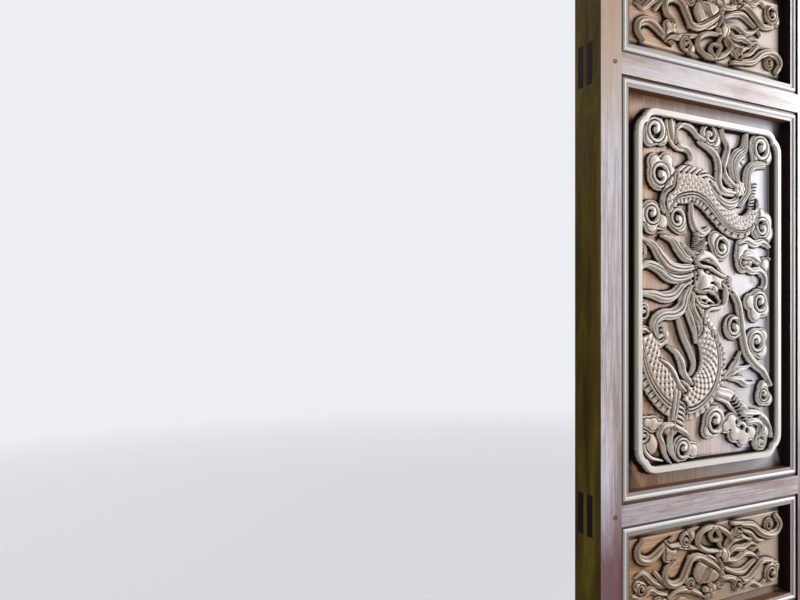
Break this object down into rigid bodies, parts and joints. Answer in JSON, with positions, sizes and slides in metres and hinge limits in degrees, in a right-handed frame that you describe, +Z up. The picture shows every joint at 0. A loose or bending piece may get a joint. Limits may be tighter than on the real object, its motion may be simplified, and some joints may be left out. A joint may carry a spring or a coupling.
{
  "type": "carved temple door",
  "caption": "Tall pivot-hung panelled leaf in its own timber frame, with a dragon panel, a round medallion panel, carved short panels and a locking bar.",
  "frame": {"origin": "middle of the doorway, on the plane the frame stands on, halfway through the frame's depth", "axes": "+Z up, +X along the wall towards the pivots, +Y towards the inside of the building"},
  "size_m": [1.006, 0.6643, 2.935],
  "materials": {
    "leaf_wood": "varnished hardwood",
    "panel_wood": "varnished carving",
    "frame_wood": "varnished hardwood",
    "peg_wood": "bare end grain",
    "steel": "bright, worn"
  },
  "bodies": {
    "frame": {"hinge_post": "frame_wood", "lock_post": "frame_wood", "frame_head": "frame_wood", "threshold": "frame_wood", "frame_pegs": "peg_wood", "catch_staple": "steel", "catch_screws": "steel"},
    "leaf": {"hinge_stile": "leaf_wood", "lock_stile": "leaf_wood", "bottom_rail": "leaf_wood", "lower_rail": "leaf_wood", "lower_middle_rail": "leaf_wood", "upper_middle_rail": "leaf_wood", "upper_rail": "leaf_wood", "top_rail": "leaf_wood", "bottom_panel": "panel_wood", "dragon_panel": "panel_wood", "middle_panel": "panel_wood", "medallion_panel": "panel_wood", "top_panel": "panel_wood", "leaf_pegs": "peg_wood", "hasp_plate": "steel", "hasp_screws": "steel"},
    "locking_bar": {"hasp_bar": "steel"}
  },
  "joints": [
    {"name": "leaf_swing", "type": "hinge", "parent": "frame", "child": "leaf", "pos_m": [0.258, 0.043, 1.4], "axis": [0, 0, -1], "range_deg": [-81, 9]},
    {"name": "bar_swing", "type": "hinge", "parent": "leaf", "child": "locking_bar", "pos_m": [0.22372, 0.5519, 1.521], "axis": [0.9877, 0.1564, 0], "range_deg": [-90, 90]}
  ]
}
